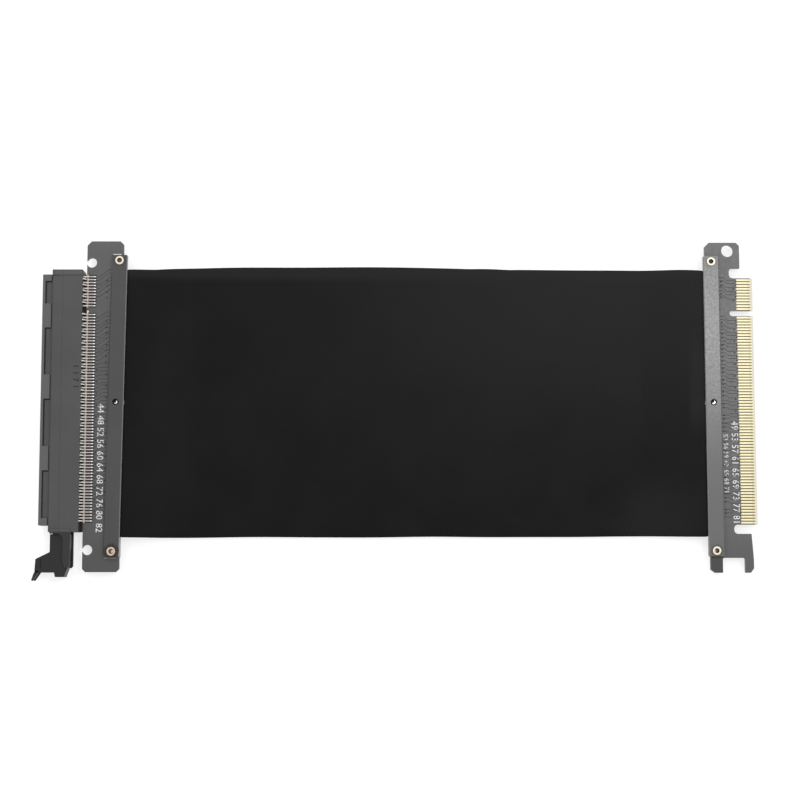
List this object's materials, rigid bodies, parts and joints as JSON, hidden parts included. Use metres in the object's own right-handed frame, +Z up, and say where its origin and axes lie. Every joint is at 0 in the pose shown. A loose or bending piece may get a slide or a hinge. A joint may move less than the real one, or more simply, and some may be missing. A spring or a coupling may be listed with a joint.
{
  "type": "pcie riser card",
  "caption": "Flexible riser that carries a long expansion slot away from its board: slot connector with latch, wrapped flat cable and edge plug.",
  "frame": {"origin": "centre of the whole object's footprint on the surface that it lies on", "axes": "+X from the slot connector to the edge plug, +Y along the contact rows towards the end with the key, +Z up from the surface"},
  "size_m": [0.244, 0.1152, 0.0078],
  "materials": {
    "housing": "moulded matt",
    "latch": "moulded matt",
    "contacts": "tinned, bright",
    "socket_board": "matt solder mask",
    "solder": "soldered",
    "socket_clamps": "smooth matt",
    "plug_clamps": "smooth matt",
    "rivets": "bright",
    "pins": "bright",
    "flat_cable": "matt jacket",
    "wrap": "matt film",
    "plug_board": "matt solder mask",
    "gold": "gold plated"
  },
  "bodies": {
    "riser": {"socket_housing": "housing", "socket_contacts_upper": "contacts", "socket_contacts_lower": "contacts", "socket_board": "socket_board", "socket_pads_upper": "solder", "socket_pads_lower": "solder", "socket_clamp_upper": "socket_clamps", "socket_clamp_lower": "socket_clamps", "socket_rivet_1": "rivets", "socket_rivet_2": "rivets", "socket_centre_pin": "pins", "cable_upper_1": "flat_cable", "cable_upper_2": "flat_cable", "cable_upper_3": "flat_cable", "cable_upper_4": "flat_cable", "cable_upper_5": "flat_cable", "cable_upper_6": "flat_cable", "cable_lower_1": "flat_cable", "cable_lower_2": "flat_cable", "cable_lower_3": "flat_cable", "cable_lower_4": "flat_cable", "cable_lower_5": "flat_cable", "cable_lower_6": "flat_cable", "cable_wrap": "wrap", "plug_board": "plug_board", "plug_fingers_upper": "gold", "plug_fingers_lower": "gold", "plug_clamp_upper": "plug_clamps", "plug_clamp_lower": "plug_clamps", "plug_rivet_1": "rivets", "plug_rivet_2": "rivets", "plug_centre_pin": "pins"},
    "latch": {"socket_latch": "latch"}
  },
  "joints": [
    {"name": "latch_hinge", "type": "hinge", "parent": "riser", "child": "latch", "pos_m": [-0.11025, -0.04605, 0.0039], "axis": [0, 0, 1], "range_deg": [0, 15]}
  ]
}
